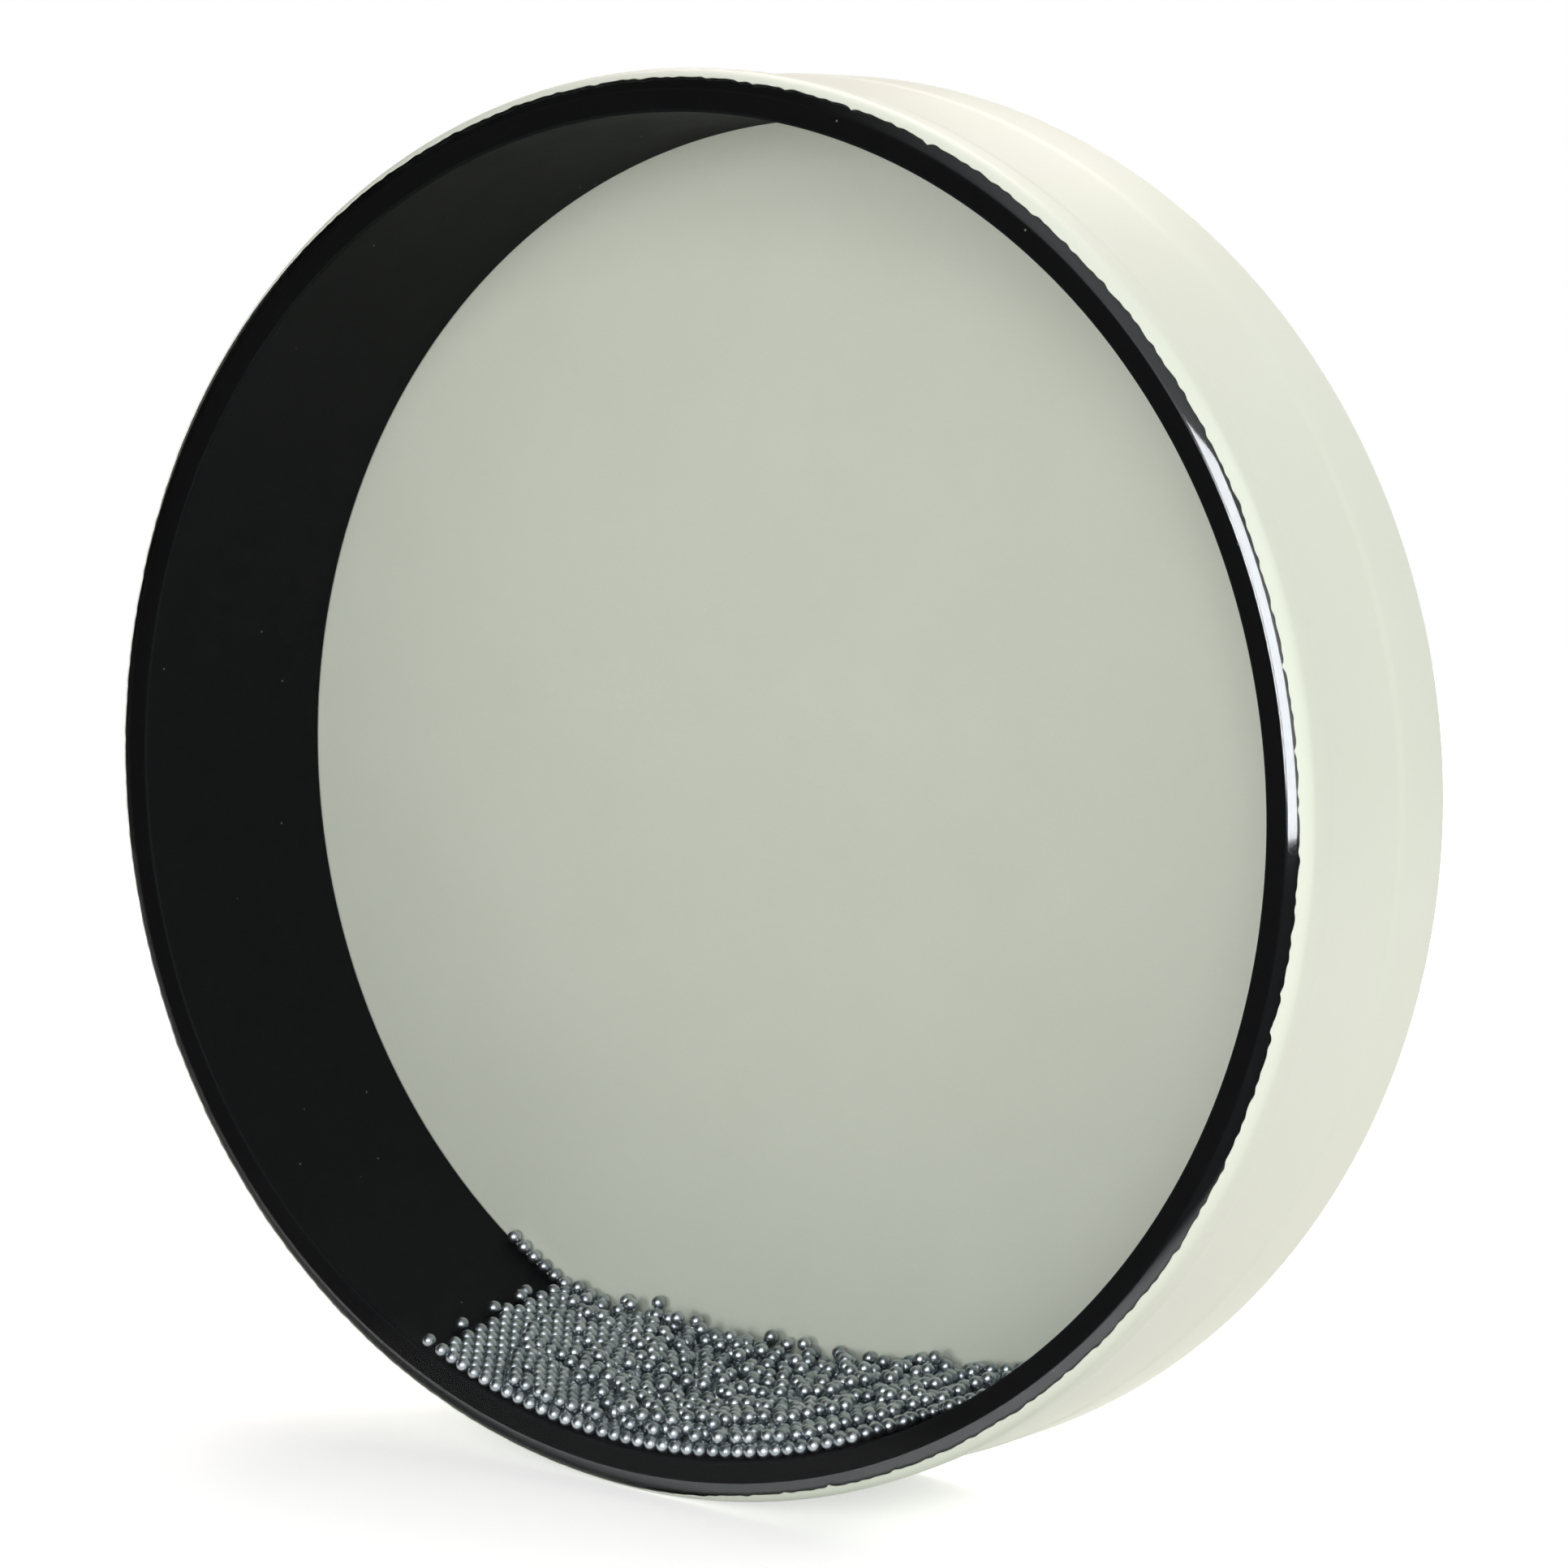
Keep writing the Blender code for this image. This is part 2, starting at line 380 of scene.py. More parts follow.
@dataclass(frozen=True)
class BallSteel:
    """Ground and tumbled steel balls, a little dulled by wear against each other.

    The eye sees bright grey metal with a soft highlight on each ball. No two balls are quite alike in tone.
    """

    dark: str = "#9da6ab"
    light: str = "#c9d0d4"
    roughness: tuple[float, float] = (0.27, 0.42)
    scuff_mm: float = 0.8

    def material(self) -> bpy.types.Material:
        """Build the finish."""
        material, tree, coords = start_material("tumbled_ball_steel")
        ball = add_node(tree, "ShaderNodeAttribute", attribute_name=TONE)
        tone = add_node(
            tree,
            "ShaderNodeMix",
            {0: ball.outputs["Fac"], 6: linear(self.dark), 7: linear(self.light)},
            data_type="RGBA",
        )
        scuff = add_node(
            tree,
            "ShaderNodeTexNoise",
            {"Vector": coords, "Scale": per_metre(self.scuff_mm), "Detail": 3.0},
        )
        rough = add_node(
            tree,
            "ShaderNodeMapRange",
            {"Value": scuff.outputs[0], "To Min": self.roughness[0], "To Max": self.roughness[1]},
        )
        shader = add_node(
            tree,
            "ShaderNodeBsdfPrincipled",
            {"Base Color": tone.outputs[2], "Metallic": 1.0, "Roughness": rough.outputs["Result"]},
        )
        add_node(tree, "ShaderNodeOutputMaterial", {"Surface": shader.outputs["BSDF"]})
        return material


@dataclass(frozen=True)
class StudioPaper:
    """White background paper, matt.

    The eye sees plain white with only the drum's shadow on it. In gloss, the paper before the drum shows a
    painted dim reflection: a grey glow in place of its white.
    """

    colour: str = "#f3f3f1"
    roughness: tuple[float, float] = (0.85, 0.95)
    sheen: float = 0.1
    lift: tuple[float, float] = (0.55, 0.75)
    lift_reach: tuple[float, float] = (0.35, 0.95)
    # painted dim reflection: where the paper before the drum turns to a grey glow in gloss, and its colour
    painted_reflection_reach: tuple[float, float] = (-0.14, -0.08)
    painted_dim_reflection: str = "#3e4042"
    fibre_mm: float = 3.0

    def material(self) -> bpy.types.Material:
        """Build the finish."""
        material, tree, coords = start_material("background_paper")
        fibre = add_node(
            tree, "ShaderNodeTexNoise", {"Vector": coords, "Scale": per_metre(self.fibre_mm), "Detail": 2.0}
        )
        rough = add_node(
            tree,
            "ShaderNodeMapRange",
            {"Value": fibre.outputs[0], "To Min": self.roughness[0], "To Max": self.roughness[1]},
        )
        paper = add_node(
            tree,
            "ShaderNodeBsdfPrincipled",
            {
                "Base Color": linear(self.colour),
                "Roughness": rough.outputs["Result"],
                "Specular IOR Level": self.sheen,
            },
        )
        away = add_node(tree, "ShaderNodeVectorMath", {0: coords}, operation="LENGTH")
        level = add_node(
            tree,
            "ShaderNodeMapRange",
            {
                "Value": away.outputs["Value"],
                "From Min": self.lift_reach[0],
                "From Max": self.lift_reach[1],
                "To Min": self.lift[0],
                "To Max": self.lift[1],
            },
            interpolation_type="SMOOTHSTEP",
        )
        strength = add_node(
            tree,
            "ShaderNodeMath",
            {0: seen_rays(tree), 1: level.outputs["Result"]},
            operation="MULTIPLY",
        )
        lift = add_node(tree, "ShaderNodeEmission", {"Color": WHITE, "Strength": strength.outputs[0]})
        both = add_node(tree, "ShaderNodeAddShader", {0: paper.outputs[0], 1: lift.outputs[0]})
        # Painted reflection: in gloss, the paper in front of the drum glows a dim grey instead of white
        place = add_node(tree, "ShaderNodeSeparateXYZ", {0: coords})
        ahead = add_node(
            tree,
            "ShaderNodeMapRange",
            {
                "Value": place.outputs["Y"],
                "From Min": self.painted_reflection_reach[0],
                "From Max": self.painted_reflection_reach[1],
                "To Min": 1.0,
                "To Max": 0.0,
            },
            interpolation_type="SMOOTHSTEP",
        )
        path = add_node(tree, "ShaderNodeLightPath")
        dim = add_node(
            tree,
            "ShaderNodeMath",
            {0: ahead.outputs["Result"], 1: path.outputs["Is Glossy Ray"]},
            operation="MULTIPLY",
        )
        room = add_node(tree, "ShaderNodeEmission", {"Color": linear(self.painted_dim_reflection)})
        surface = add_node(
            tree, "ShaderNodeMixShader", {0: dim.outputs[0], 1: both.outputs[0], 2: room.outputs[0]}
        )
        add_node(tree, "ShaderNodeOutputMaterial", {"Surface": surface.outputs[0]})
        return material


def seen_rays(tree: bpy.types.NodeTree) -> bpy.types.NodeSocket:
    """Tell the rays that see the background, straight, in gloss or through film, from those that light.

    Args:
        tree: The node tree that takes the nodes.

    Returns:
        An output of 1 for rays that see the background and 0 for the rest.
    """
    path = add_node(tree, "ShaderNodeLightPath")
    total = path.outputs["Is Camera Ray"]
    for name in ("Is Glossy Ray", "Is Transmission Ray"):
        either = add_node(tree, "ShaderNodeMath", {0: total, 1: path.outputs[name]}, operation="MAXIMUM")
        total = either.outputs[0]
    return total


def new_piece(name: str, mesh: bpy.types.Mesh, materials: list[bpy.types.Material]) -> bpy.types.Object:
    """Put a mesh into the scene as a piece.

    Args:
        name: The piece's name.
        mesh: Its mesh.
        materials: Its materials, by slot.

    Returns:
        The new object.
    """
    for material in materials:
        mesh.materials.append(material)
    piece = bpy.data.objects.new(name, mesh)
    bpy.context.scene.collection.objects.link(piece)
    return piece


def lathe(
    name: str,
    section: Callable[[float], list[Point]],
    turns: int,
    closed: bool,
    slot_of: Callable[[float, float], int] | None = None,
) -> bpy.types.Mesh:
    """Sweep a section round the drum's axis.

    Args:
        name: The mesh's name.
        section: Gives the (radius, Y) points of the section at an angle; a radius of 0 is one point for all.
        turns: How many sections there are in the full turn.
        closed: Whether the section's last point joins its first.
        slot_of: Gives the material slot of a face from the radius and Y of its middle.

    Returns:
        A closed mesh whose normals face out.
    """
    bm = bmesh.new()
    poles: dict[int, bmesh.types.BMVert] = {}
    rows = []
    for turn in range(turns):
        angle = math.tau * turn / turns
        row = []
        for index, (radius, along) in enumerate(section(angle)):
            if radius > 0.0:
                row.append(bm.verts.new((radius * math.cos(angle), along, radius * math.sin(angle))))
                continue
            if index not in poles:
                poles[index] = bm.verts.new((0.0, along, 0.0))
            row.append(poles[index])
        rows.append(row)
    for turn, row in enumerate(rows):
        after = rows[(turn + 1) % turns]
        last = len(row) if closed else len(row) - 1
        for index in range(last):
            corners = [row[index], row[(index + 1) % len(row)], after[(index + 1) % len(row)], after[index]]
            kept = list(dict.fromkeys(corners))
            if len(kept) > 2:
                bm.faces.new(kept)
    bmesh.ops.recalc_face_normals(bm, faces=bm.faces)
    if slot_of is not None:
        for face in bm.faces:
            middle = face.calc_center_median()
            face.material_index = slot_of(math.hypot(middle.x, middle.z), middle.y)
    mesh = bpy.data.meshes.new(name)
    bm.to_mesh(mesh)
    bm.free()
    mesh.shade_smooth()
    mesh.set_sharp_from_angle(angle=SMOOTH_LIMIT)
    return mesh


def ramp(value: float, start: float, stop: float) -> float:
    """Return a smooth step from 0 at start to 1 at stop."""
    share = min(max((value - start) / (stop - start), 0.0), 1.0)
    return share * share * (3.0 - 2.0 * share)


@dataclass
class DrumBody:
    """The hoop, the two heads and the wrap round the wall, with each film lying tight on what is under it."""

    # The drum, its films and the seat under each
    radius: float = 152.4 * MM
    half_depth: float = 31.75 * MM
    bore: float = 143.11 * MM
    film: float = 0.36 * MM
    wrap: float = 0.25 * MM
    seat: float = 0.05 * MM
    # The bearing edge
    edge_ease: float = 0.6 * MM
    flat_end: float = 147.75 * MM
    crease_round: float = 1.0 * MM
    facet_round: float = 16.0 * MM
    facet: tuple[float, float] = (math.radians(25.0), math.radians(32.0))
    # The skirts of the heads, and the width in which the wrap steps down from them to the hoop
    front_skirt: float = 9.5 * MM
    back_skirt: float = 20.0 * MM
    hem_width: float = 3.5 * MM
    # The wrap's hand-trimmed edge
    trim: float = math.radians(35.5)
    slip: float = math.radians(39.5)
    slip_start: tuple[float, float] = (math.radians(118.0), math.radians(172.0))
    slip_stop: tuple[float, float] = (math.radians(262.0), math.radians(284.0))
    trim_waver: float = math.radians(1.3)
    trim_seed: int = 5
    wave_counts: tuple[int, ...] = (5, 11, 23, 41, 67, 103, 157, 233, 331)
    wave_sizes: tuple[float, float] = (0.4, 1.0)
    # The meshes
    support: float = 0.1 * MM
    turns: int = 320
    wrap_turns: int = 1280
    disc_rings: tuple[float, ...] = (0.0, 0.25, 0.5, 0.75, 0.93, 0.985)
    ease_steps: int = 4
    crease_steps: int = 4
    facet_steps: int = 3
    arc_steps: int = 8
    hem_steps: int = 4
    waves: list[tuple[int, float, float]] = field(init=False)

    def __post_init__(self) -> None:
        """Draw the waves of the hand-trimmed edge."""
        chance = np.random.default_rng(self.trim_seed)
        self.waves = [
            (count, float(chance.uniform(*self.wave_sizes)), float(chance.uniform(0.0, math.tau)))
            for count in self.wave_counts
        ]

    @property
    def hoop_radius(self) -> float:
        """The hoop's outer radius, under both films."""
        return self.radius - self.wrap - self.film - 2.0 * self.seat

    @property
    def hoop_half(self) -> float:
        """Half the hoop's depth, between the two heads."""
        return self.half_depth - self.film - self.seat

    @property
    def skin(self) -> float:
        """How far the wrap's inner face lies above the hoop where a skirt is under it."""
        return 2.0 * self.seat + self.film

    @property
    def wall_round(self) -> float:
        """The radius of the last rounding, which brings the edge out to the wall."""
        start, stop = (math.sin(angle) for angle in self.facet)
        reached = self.flat_end + self.crease_round * start + self.facet_round * (stop - start)
        return (self.hoop_radius - reached) / (1.0 - stop)

    def edge_point(self, side: Side, lift: float, angle: float) -> Point:
        """Find a point of a bearing edge: a crease, a long facet and a rounding follow the flat.

        Args:
            side: Which edge.
            lift: How far above the hoop's own face, for a film that lies on it.
            angle: How far the face is turned there, from 0 on the flat to a quarter turn on the wall.

        Returns:
            Its (radius, Y).
        """
        radius, along, turned = self.flat_end, self.hoop_half, 0.0
        ends = (*self.facet, math.pi / 2.0)
        for size, end in zip((self.crease_round, self.facet_round, self.wall_round), ends):
            reach = min(angle, end)
            if reach > turned:
                radius += size * (math.sin(reach) - math.sin(turned))
                along -= size * (math.cos(turned) - math.cos(reach))
                turned = reach
        return radius + lift * math.sin(angle), side.value * (along + lift * math.cos(angle))

    def arc(self, side: Side, lift: float, start: float, stop: float, steps: int) -> list[Point]:
        """Follow a bearing edge between two angles, in even steps.

        Args:
            side: Which edge.
            lift: How far above the hoop's own face.
            start: First angle.
            stop: Last angle.
            steps: Number of steps.

        Returns:
            (radius, Y) points.
        """
        angles = [start + (stop - start) * step / steps for step in range(steps + 1)]
        return [self.edge_point(side, lift, angle) for angle in angles]

    def edge(self, side: Side, lift: float) -> list[Point]:
        """Follow a whole bearing edge from just before the crease round to the wall.

        Args:
            side: Which edge.
            lift: How far above the hoop's own face.

        Returns:
            (radius, Y) points.
        """
        start, stop = self.facet
        flat = (self.flat_end - self.support, side.value * (self.hoop_half + lift))
        path = self.arc(side, lift, 0.0, start, self.crease_steps)[:-1]
        path += self.arc(side, lift, start, stop, self.facet_steps)[:-1]
        return [flat] + path + self.arc(side, lift, stop, math.pi / 2.0, self.arc_steps)

    def bore_edge(self, side: Side) -> list[Point]:
        """Follow the eased inner edge of the hoop, from the flat into the bore.

        Args:
            side: Which edge.

        Returns:
            (radius, Y) points.
        """
        points = [(self.bore + self.edge_ease + self.support, side.value * self.hoop_half)]
        for step in range(self.ease_steps + 1):
            angle = math.pi / 2.0 * step / self.ease_steps
            radius = self.bore + self.edge_ease * (1.0 - math.sin(angle))
            points.append((radius, side.value * (self.hoop_half - self.edge_ease * (1.0 - math.cos(angle)))))
        points.append((self.bore, side.value * (self.hoop_half - self.edge_ease - self.support)))
        return points

    def build_hoop(self, board: bpy.types.Material, edge: bpy.types.Material) -> bpy.types.Object:
        """Turn the hoop.

        Args:
            board: The material of its bore.
            edge: The material of its sealed edges and outside.

        Returns:
            The hoop.
        """
        back = self.edge(Side.BACK, 0.0)
        front = self.edge(Side.FRONT, 0.0)[::-1]
        profile = back + front + self.bore_edge(Side.FRONT) + self.bore_edge(Side.BACK)[::-1]
        mesh = lathe(
            "hoop_ring",
            lambda angle: profile,
            self.turns,
            True,
            lambda radius, along: 1 if radius > self.bore + self.edge_ease else 0,
        )
        hoop = new_piece("hoop_ring", mesh, [board, edge])
        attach(hoop, "drum")
        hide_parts("shell")
        return hoop

    def head_profile(self, side: Side, skirt: float) -> list[Point]:
        """Return the section of a head: its disc, the collar over the edge and the skirt down the wall.

        Args:
            side: Which head.
            skirt: How far the film reaches down the wall.

        Returns:
            (radius, Y) points from the outer middle to the inner middle.
        """
        under = self.seat
        over = self.seat + self.film
        hem = side.value * (self.half_depth - skirt)
        outside = self.edge(side, over)
        inside = self.edge(side, under)[::-1]
        discs = [share * outside[0][0] for share in self.disc_rings]
        outer = [(radius, side.value * self.half_depth) for radius in discs]
        inner = [(radius, side.value * (self.half_depth - self.film)) for radius in discs[::-1]]
        skirt_end = [(self.hoop_radius + over, hem), (self.hoop_radius + under, hem)]
        return outer + outside + skirt_end + inside + inner

    def build_clear_head(self, disc: bpy.types.Material, collar: bpy.types.Material) -> bpy.types.Object:
        """Turn the clear head.

        Args:
            disc: The material of the flat film.
            collar: The material of the film where it is bent over the edge.

        Returns:
            The head.
        """
        profile = self.head_profile(Side.FRONT, self.front_skirt)
        mesh = lathe(
            "clear_film_head",
            lambda angle: profile,
            self.turns,
            False,
            lambda radius, along: 1 if radius > self.flat_end else 0,
        )
        head = new_piece("clear_film_head", mesh, [disc, collar])
        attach(head, "drum")
        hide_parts("clear_head")
        return head

    def build_back_head(self, film: bpy.types.Material) -> bpy.types.Object:
        """Turn the opaque head.

        Args:
            film: Its material.

        Returns:
            The head.
        """
        profile = self.head_profile(Side.BACK, self.back_skirt)
        mesh = lathe("cream_film_head", lambda angle: profile, self.turns, False)
        head = new_piece("cream_film_head", mesh, [film])
        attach(head, "drum")
        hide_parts("back_head")
        return head

    def trim_angle(self, angle: float) -> float:
        """Find where on the front rounding the hand-trimmed edge of the wrap lies.

        On the side at -X the film was pulled further round, so its edge lies nearer the wall.

        Args:
            angle: The angle round the drum's axis.

        Returns:
            How far the face is turned there, as in edge_point.
        """
        waver = sum(size * math.sin(count * angle + shift) for count, size, shift in self.waves)
        slipped = ramp(angle, *self.slip_start) * (1.0 - ramp(angle, *self.slip_stop))
        return self.trim + self.trim_waver * waver + self.slip * slipped

    def wrap_section(self, angle: float) -> list[Point]:
        """Find the wrap's section at an angle; between the skirts of the heads it lies on the hoop itself.

        Args:
            angle: The angle round the drum's axis.

        Returns:
            (radius, Y) points.
        """
        quarter = math.pi / 2.0
        over = self.skin + self.wrap
        front_hem = -self.half_depth + self.front_skirt
        back_hem = self.half_depth - self.back_skirt
        wall = []
        for step in range(self.hem_steps + 1):
            share = step / self.hem_steps
            wall.append((self.skin - (self.skin - self.seat) * ramp(share, 0.0, 1.0), share * self.hem_width))
        outside = self.arc(Side.BACK, over, self.trim, quarter, self.arc_steps)
        outside += [(self.hoop_radius + self.wrap + lift, back_hem - run) for lift, run in wall]
        outside += [(self.hoop_radius + self.wrap + lift, front_hem + run) for lift, run in wall[::-1]]
        outside += self.arc(Side.FRONT, over, quarter, self.trim_angle(angle), self.arc_steps)
        inside = self.arc(Side.FRONT, self.skin, self.trim_angle(angle), quarter, self.arc_steps)
        inside += [(self.hoop_radius + lift, front_hem + run) for lift, run in wall]
        inside += [(self.hoop_radius + lift, back_hem - run) for lift, run in wall[::-1]]
        inside += self.arc(Side.BACK, self.skin, quarter, self.trim, self.arc_steps)
        return outside + inside

    def build_wrap(self, film: bpy.types.Material) -> bpy.types.Object:
        """Turn the wrap round the wall.

        Args:
            film: Its material.

        Returns:
            The wrap.
        """
        mesh = lathe("wall_wrap", self.wrap_section, self.wrap_turns, True)
        wrap = new_piece("wall_wrap", mesh, [film])
        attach(wrap, "drum")
        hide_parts("outer_wrap")
        return wrap


def close_pairs(points: np.ndarray, reach: float) -> tuple[np.ndarray, np.ndarray]:
    """Find the pairs of points that lie close together.

    Args:
        points: The points, one a row.
        reach: The longest distance between the two points of a pair.

    Returns:
        The first and the second point of each pair, by number.
    """
    cells = np.floor(points / reach).astype(int)
    cells -= cells.min(axis=0) - 1
    spans = cells.max(axis=0) + 2
    keys = (cells[:, 0] * spans[1] + cells[:, 1]) * spans[2] + cells[:, 2]
    order = np.argsort(keys, kind="stable")
    sorted_keys = keys[order]
    firsts, seconds = [], []
    for shift_x in (-1, 0, 1):
        for shift_y in (-1, 0, 1):
            for shift_z in (-1, 0, 1):
                wanted = keys + (shift_x * spans[1] + shift_y) * spans[2] + shift_z
                low = np.searchsorted(sorted_keys, wanted, "left")
                counts = np.searchsorted(sorted_keys, wanted, "right") - low
                first = np.repeat(np.arange(len(points)), counts)
                skipped = np.repeat(np.cumsum(counts) - counts, counts)
                second = order[np.repeat(low, counts) + np.arange(counts.sum()) - skipped]
                kept = first < second
                firsts.append(first[kept])
                seconds.append(second[kept])
    one, two = np.concatenate(firsts), np.concatenate(seconds)
    near = np.linalg.norm(points[one] - points[two], axis=1) < reach
    return one[near], two[near]


@dataclass(frozen=True)
class Settling:
    """How balls are left to settle.

    A step has so many passes in which they push each other apart, and lets a free ball sink by the drop. The
    last steps are calm, without sinking.
    """

    steps: int
    passes: int
    drop: float = 0.0
    calm: int = 0


@dataclass
class BallCharge:
    """The loose steel balls: a sheet on the wall, balls poured on it, and the single balls round them."""

    # The balls and the room they lie in
    diameter: float = 3.175 * MM
    run: float = 142.81 * MM
    inside: float = 31.2 * MM
    pull: tuple[float, float, float] = (0.052, 0.117, -0.992)
    seed: int = 11
    # The sheet on the wall
    slack: float = 1.035
    row_skip: float = 0.55
    row_short: float = 0.3
    wander_mm: tuple[float, float] = (0.10, 0.32)
    tidy_from: float = math.radians(-14.0)
    tidy_span: float = math.radians(14.0)
    clear_of_still: float = 0.9
    sheet_rounds: int = 3
    sheet_give: float = 0.25
    # The balls poured on it
    poured: int = 1150
    cloud_x: tuple[float, float] = (-54.0 * MM, 62.0 * MM)
    cloud_z: tuple[float, float] = (-132.0 * MM, -100.0 * MM)
    back_bias: float = 0.8
    # The line of the heap's top at each head: its depth in the middle and the angle of its edge
    front_line: tuple[float, float] = (6.7 * MM, math.radians(24.2))
    back_line: tuple[float, float] = (15.0 * MM, math.radians(30.5))
    over_line: float = 0.5
    # The last balls, which fall into the hollows of the heap
    layers: int = 3
    darts: int = 900
    perched: int = 14
    layer_spare: float = 0.3
    perch_spare: float = 1.0
    perch_behind: float = 0.4
    loose_pitch: float = 1.25
    catch: float = 0.8
    nest: float = 0.75
    fall_from: float = 0.3
    # How they settle
    spreading: Settling = Settling(30, 6)
    falling: Settling = Settling(110, 4, 0.35 * MM)
    sinking: Settling = Settling(90, 6, 0.06 * MM)
    resting: Settling = Settling(45, 8, 0.01 * MM, 30)
    nestling: Settling = Settling(50, 5, 0.05 * MM, 6)
    pairs_every: int = 6
    pair_reach: float = 1.5
    contact_share: float = 0.5
    # What hides a ball
    cover_reach: float = 2.2
    cover_rise: float = 0.55
    cover_side: float = 1.1
    cover_count: int = 7
    front_rows: float = 2.0
    # The meshes
    strips: int = 3
    fine_cuts: int = 3
    coarse_cuts: int = 2

    @property
    def radius(self) -> float:
        """A ball's radius."""
        return self.diameter / 2.0

    @property
    def circle(self) -> float:
        """The radius on which the middle of a ball on the wall lies."""
        return self.run - self.radius

    @property
    def reach(self) -> float:
        """The Y of a ball that lies against a head."""
        return self.inside - self.radius

    @staticmethod
    def middle(node: str) -> np.ndarray:
        """Return the middle of a ball's CAD node."""
        low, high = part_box(node)
        return (np.array(low) + np.array(high)) / 2.0

    def on_wall(self, angles: np.ndarray, along: np.ndarray) -> np.ndarray:
        """Return the middles of balls on the wall.

        Args:
            angles: Angles from straight down towards +X.
            along: Their Y.

        Returns:
            The middles, one a row.
        """
        return np.stack([self.circle * np.sin(angles), along, -self.circle * np.cos(angles)], axis=1)

    def sheet(self, edges: tuple[float, float], chance: np.random.Generator) -> np.ndarray:
        """Lay one sheet of balls on the wall, in staggered rows that follow the heap's edge at -X.

        The rows are tidy near that edge and looser further on.

        Args:
            edges: The angle of the heap's edge at the clear head and at the opaque head.
            chance: The source of chance.

        Returns:
            The middles, one a row.
        """
        pitch = self.diameter * self.slack
        rows = int(2.0 * self.reach / (pitch * math.sqrt(3.0) / 2.0)) + 1
        angles, alongs = [], []
        for row in range(rows):
            share = row / (rows - 1)
            edge = edges[0] + (edges[1] - edges[0]) * share
            start = -edge + (row % 2) * pitch / (2.0 * self.circle)
            start += pitch / self.circle * (chance.random() < self.row_skip)
            count = int((edge - start) * self.circle / pitch - self.row_short * chance.random())
            angle = start + np.arange(count) * pitch / self.circle
            loose = np.clip((angle - self.tidy_from) / self.tidy_span, 0.0, 1.0)
            wander = (self.wander_mm[0] + self.wander_mm[1] * loose) * MM
            angles.append(angle + chance.normal(size=count) * wander / self.circle)
            along = np.full(count, -self.reach + 2.0 * self.reach * share)
            alongs.append(along + (chance.normal(size=count) * wander if row > 0 else 0.0))
        return self.on_wall(np.concatenate(angles), np.concatenate(alongs))

    def settle(self, points: np.ndarray, free: np.ndarray, way: Settling) -> np.ndarray:
        """Let balls sink and push each other apart, inside the wall and the heads.

        Args:
            points: The middles, one a row.
            free: How freely each ball moves, from 0 for one that stays.
            way: How they settle.

        Returns:
            The new middles.
        """
        pull = np.array(self.pull) / np.linalg.norm(self.pull)
        points = points.copy()
        moves = free > 0.0
        count = len(points)
        first = second = np.empty(0, dtype=int)
        for step in range(way.steps):
            if step % self.pairs_every == 0:
                first, second = close_pairs(points, self.pair_reach * self.diameter)
            if step < way.steps - way.calm:
                points += pull * way.drop * free[:, None]
            for _ in range(way.passes):
                gap = points[second] - points[first]
                length = np.linalg.norm(gap, axis=1) + LEAST_GAP
                touch = length < self.diameter
                one, two = first[touch], second[touch]
                weight = np.maximum(free[one] + free[two], LEAST_FREEDOM)
                depth = (self.diameter - length[touch]) / weight
                push = gap[touch] / length[touch][:, None] * depth[:, None]
                shift = np.stack(
                    [
                        np.bincount(two, push[:, axis] * free[two], count)
                        - np.bincount(one, push[:, axis] * free[one], count)
                        for axis in range(3)
                    ],
                    axis=1,
                )
                contacts = np.bincount(one, minlength=count) + np.bincount(two, minlength=count)
                points += shift / np.maximum(1.0, self.contact_share * contacts)[:, None]
                out = np.hypot(points[:, 0], points[:, 2])
                beyond = moves & (out > self.circle)
                points[beyond, 0] *= self.circle / out[beyond]
                points[beyond, 2] *= self.circle / out[beyond]
                points[moves, 1] = np.clip(points[moves, 1], -self.reach, self.reach)
        return points

    def pour(self, still: np.ndarray) -> np.ndarray:
        """Lay the sheet, pour the rest of the balls on it and let them settle.

        Args:
            still: The middles of the single balls, which stay where they are.

        Returns:
            The middles of the heap's balls, one a row.
        """
        chance = np.random.default_rng(self.seed)
        front, back = self.middle("rolling_ball_01"), self.middle("corner_ball_01")
        edges = tuple(math.atan2(-point[0], -point[2]) for point in (front, back))
        sheet = self.sheet((edges[0], edges[1]), chance)
        near = np.linalg.norm(sheet[:, None] - still[None], axis=2).min(axis=1)
        sheet = sheet[near > self.clear_of_still * self.diameter]
        count = len(sheet)
        for _ in range(self.sheet_rounds):
            points = np.vstack([sheet, still])
            free = np.r_[np.ones(count), np.zeros(len(still))]
            sheet = self.settle(points, free, self.spreading)[:count]
            sheet[:, [0, 2]] *= (self.circle / np.hypot(sheet[:, 0], sheet[:, 2]))[:, None]
        cloud = np.stack(
            [
                chance.uniform(*self.cloud_x, self.poured),
                self.reach * (2.0 * chance.random(self.poured) ** self.back_bias - 1.0),
                chance.uniform(*self.cloud_z, self.poured),
            ],
            axis=1,
        )
        points = np.vstack([sheet, cloud, still])
        free = np.r_[np.zeros(count), np.ones(self.poured), np.zeros(len(still))]
        points = self.settle(points, free, self.falling)
        free[:count] = self.sheet_give
        points = self.settle(points, free, self.sinking)
        points = self.settle(points, free, self.resting)
        sheet, cloud = points[:count], points[count : count + self.poured]
        over = cloud[:, 2] + self.radius - self.crown(cloud[:, 0], cloud[:, 1])
        heap = np.vstack([sheet, cloud[over < self.over_line * self.diameter], still])
        for _ in range(self.layers):
            heap = self.strew(heap, chance, self.darts, self.layer_spare, -self.reach)
        behind = self.perch_behind * self.reach
        heap = self.strew(heap, chance, self.perched, self.perch_spare, behind)
        lone = np.linalg.norm(heap[:, None] - still[None], axis=2).min(axis=1) > 0.0
        return heap[lone]

